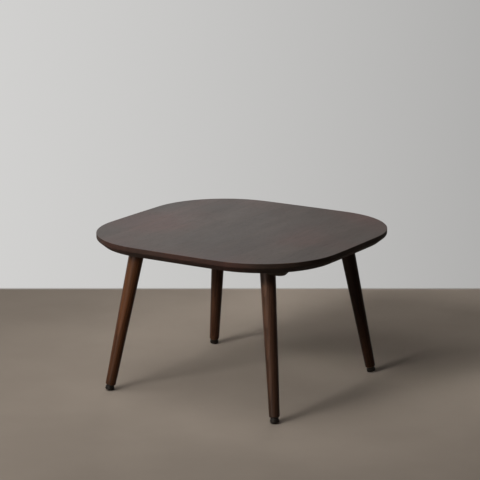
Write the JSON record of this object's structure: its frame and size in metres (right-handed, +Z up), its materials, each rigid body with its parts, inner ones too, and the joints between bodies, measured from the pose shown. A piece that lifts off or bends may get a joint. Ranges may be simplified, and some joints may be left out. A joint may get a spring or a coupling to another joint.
{
  "type": "coffee table",
  "caption": "Low wooden coffee table: a round-cornered top with an under-bevelled edge on battens, and splayed tapered legs ending in screw-in levelling glides.",
  "frame": {"origin": "on the floor, under the centre of the top", "axes": "+Z up; +X along the battens, the longer side of the top; +Y along the grain of the top, from the front edge to the back edge"},
  "size_m": [0.725, 0.69, 0.44],
  "materials": {
    "top_wood": "dark walnut stain under satin lacquer, grain along Y",
    "batten_wood": "dark walnut stain, matt, grain along X",
    "leg_wood": "walnut stain under satin lacquer, grain along the leg",
    "zinc_steel": "bright zinc plating",
    "insert_metal": "yellow-passivated zinc",
    "glide_plastic": "moulded black, matt"
  },
  "bodies": {
    "root": {"top_stave_1": "top_wood", "top_stave_2": "top_wood", "top_stave_3": "top_wood", "top_stave_4": "top_wood", "top_stave_5": "top_wood", "top_stave_6": "top_wood", "top_stave_7": "top_wood", "batten_front": "batten_wood", "batten_back": "batten_wood", "batten_screws_front": "zinc_steel", "batten_screws_back": "zinc_steel", "batten_washers_front": "zinc_steel", "batten_washers_back": "zinc_steel", "leg_front_left": "leg_wood", "hanger_bolt_front_left": "zinc_steel", "batten_insert_front_left": "insert_metal", "foot_insert_front_left": "insert_metal", "leg_front_right": "leg_wood", "hanger_bolt_front_right": "zinc_steel", "batten_insert_front_right": "insert_metal", "foot_insert_front_right": "insert_metal", "leg_back_right": "leg_wood", "hanger_bolt_back_right": "zinc_steel", "batten_insert_back_right": "insert_metal", "foot_insert_back_right": "insert_metal", "leg_back_left": "leg_wood", "hanger_bolt_back_left": "zinc_steel", "batten_insert_back_left": "insert_metal", "foot_insert_back_left": "insert_metal"},
    "stud_front_left": {"glide_stud_front_left": "zinc_steel"},
    "base_front_left": {"glide_base_front_left": "glide_plastic"},
    "stud_front_right": {"glide_stud_front_right": "zinc_steel"},
    "base_front_right": {"glide_base_front_right": "glide_plastic"},
    "stud_back_right": {"glide_stud_back_right": "zinc_steel"},
    "base_back_right": {"glide_base_back_right": "glide_plastic"},
    "stud_back_left": {"glide_stud_back_left": "zinc_steel"},
    "base_back_left": {"glide_base_back_left": "glide_plastic"}
  },
  "joints": [
    {"name": "glide_front_left_travel", "type": "slide", "parent": "root", "child": "stud_front_left", "axis": [-0.147, -0.147, -0.9781], "range_m": [0, 0.01]},
    {"name": "glide_front_left_turn", "type": "hinge", "parent": "stud_front_left", "child": "base_front_left", "pos_m": [-0.26618, -0.26618, 0.01623], "axis": [-0.147, -0.147, -0.9781], "range_deg": [0, 2880]},
    {"name": "glide_front_right_travel", "type": "slide", "parent": "root", "child": "stud_front_right", "axis": [0.147, -0.147, -0.9781], "range_m": [0, 0.01]},
    {"name": "glide_front_right_turn", "type": "hinge", "parent": "stud_front_right", "child": "base_front_right", "pos_m": [0.26618, -0.26618, 0.01623], "axis": [0.147, -0.147, -0.9781], "range_deg": [0, 2880]},
    {"name": "glide_back_right_travel", "type": "slide", "parent": "root", "child": "stud_back_right", "axis": [0.147, 0.147, -0.9781], "range_m": [0, 0.01]},
    {"name": "glide_back_right_turn", "type": "hinge", "parent": "stud_back_right", "child": "base_back_right", "pos_m": [0.26618, 0.26618, 0.01623], "axis": [0.147, 0.147, -0.9781], "range_deg": [0, 2880]},
    {"name": "glide_back_left_travel", "type": "slide", "parent": "root", "child": "stud_back_left", "axis": [-0.147, 0.147, -0.9781], "range_m": [0, 0.01]},
    {"name": "glide_back_left_turn", "type": "hinge", "parent": "stud_back_left", "child": "base_back_left", "pos_m": [-0.26618, 0.26618, 0.01623], "axis": [-0.147, 0.147, -0.9781], "range_deg": [0, 2880]}
  ],
  "couplings": [
    {"joint": "glide_front_left_travel", "follows": "glide_front_left_turn", "m_per_rad": 0.00019894},
    {"joint": "glide_front_right_travel", "follows": "glide_front_right_turn", "m_per_rad": 0.00019894},
    {"joint": "glide_back_right_travel", "follows": "glide_back_right_turn", "m_per_rad": 0.00019894},
    {"joint": "glide_back_left_travel", "follows": "glide_back_left_turn", "m_per_rad": 0.00019894}
  ]
}
